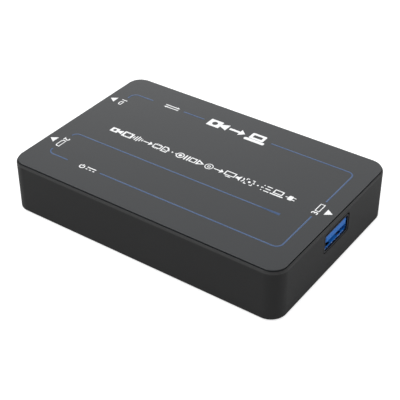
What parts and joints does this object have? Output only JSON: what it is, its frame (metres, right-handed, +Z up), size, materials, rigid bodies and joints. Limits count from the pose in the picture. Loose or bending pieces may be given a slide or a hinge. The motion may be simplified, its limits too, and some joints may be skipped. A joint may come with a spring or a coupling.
{
  "type": "video capture box",
  "caption": "Flat black electronics box with rounded corners, an inset cover with printed lines, two video sockets at one end and a blue data socket at the other.",
  "frame": {"origin": "centre of the footprint, on the surface that the rubber feet stand on", "axes": "+X along the long side, towards the end with the data socket; +Z up; -Y towards the long front side"},
  "size_m": [0.0926, 0.0612, 0.017],
  "materials": {
    "case_plastic": "moulded black ABS, fine spark texture",
    "cover_plastic": "moulded black ABS, satin, with printed lines",
    "screw_steel": "black zinc plated steel",
    "foot_rubber": "matt black rubber",
    "board_laminate": "green solder mask on glass laminate",
    "plated_sheet": "nickel plated steel sheet",
    "dark_plated_sheet": "black nickel plated steel sheet",
    "black_insert": "moulded black polymer",
    "blue_insert": "moulded blue polymer",
    "gold_contact": "gold plated copper alloy",
    "chip_resin": "moulded black epoxy",
    "tinned_lead": "tin plated copper alloy",
    "soft_pad": "soft grey silicone pad",
    "sink_aluminium": "black anodised aluminium",
    "coil_body": "moulded iron powder",
    "crystal_can": "plated steel lid",
    "capacitor_can": "bright drawn aluminium",
    "ceramic_body": "tan fired ceramic",
    "resistor_body": "black glazed ceramic",
    "lamp_resin": "clear yellowish resin",
    "clear_guide": "clear moulded acrylic",
    "white_ink": "pad printed white ink",
    "blue_ink": "pad printed blue ink"
  },
  "bodies": {
    "root": {"board_screws": "screw_steel", "can_capacitor_bases": "black_insert", "can_capacitors": "capacitor_can", "capture_chip": "chip_resin", "case_screws": "screw_steel", "ceramic_capacitors": "ceramic_body", "circuit_board": "board_laminate", "crystals": "crystal_can", "data_socket_body": "blue_insert", "data_socket_flat_contacts": "gold_contact", "data_socket_shell": "dark_plated_sheet", "data_socket_spring_contacts": "gold_contact", "flash_chip": "chip_resin", "flash_chip_leads": "tinned_lead", "heat_sink": "sink_aluminium", "heat_sink_pad": "soft_pad", "link_lamp": "lamp_resin", "link_light_guide": "clear_guide", "lower_case": "case_plastic", "memory_chip": "chip_resin", "power_coils": "coil_body", "power_lamp": "lamp_resin", "power_light_guide": "clear_guide", "receiver_chip": "chip_resin", "receiver_chip_leads": "tinned_lead", "regulator_leads": "tinned_lead", "resistors": "resistor_body", "rubber_feet": "foot_rubber", "splitter_chip": "chip_resin", "surge_arrays": "chip_resin", "top_cover": "cover_plastic", "video_in_socket_body": "black_insert", "video_in_socket_contacts": "gold_contact", "video_in_socket_shell": "plated_sheet", "video_out_socket_body": "black_insert", "video_out_socket_contacts": "gold_contact", "video_out_socket_shell": "plated_sheet", "voltage_regulators": "chip_resin"}
  },
  "joints": []
}
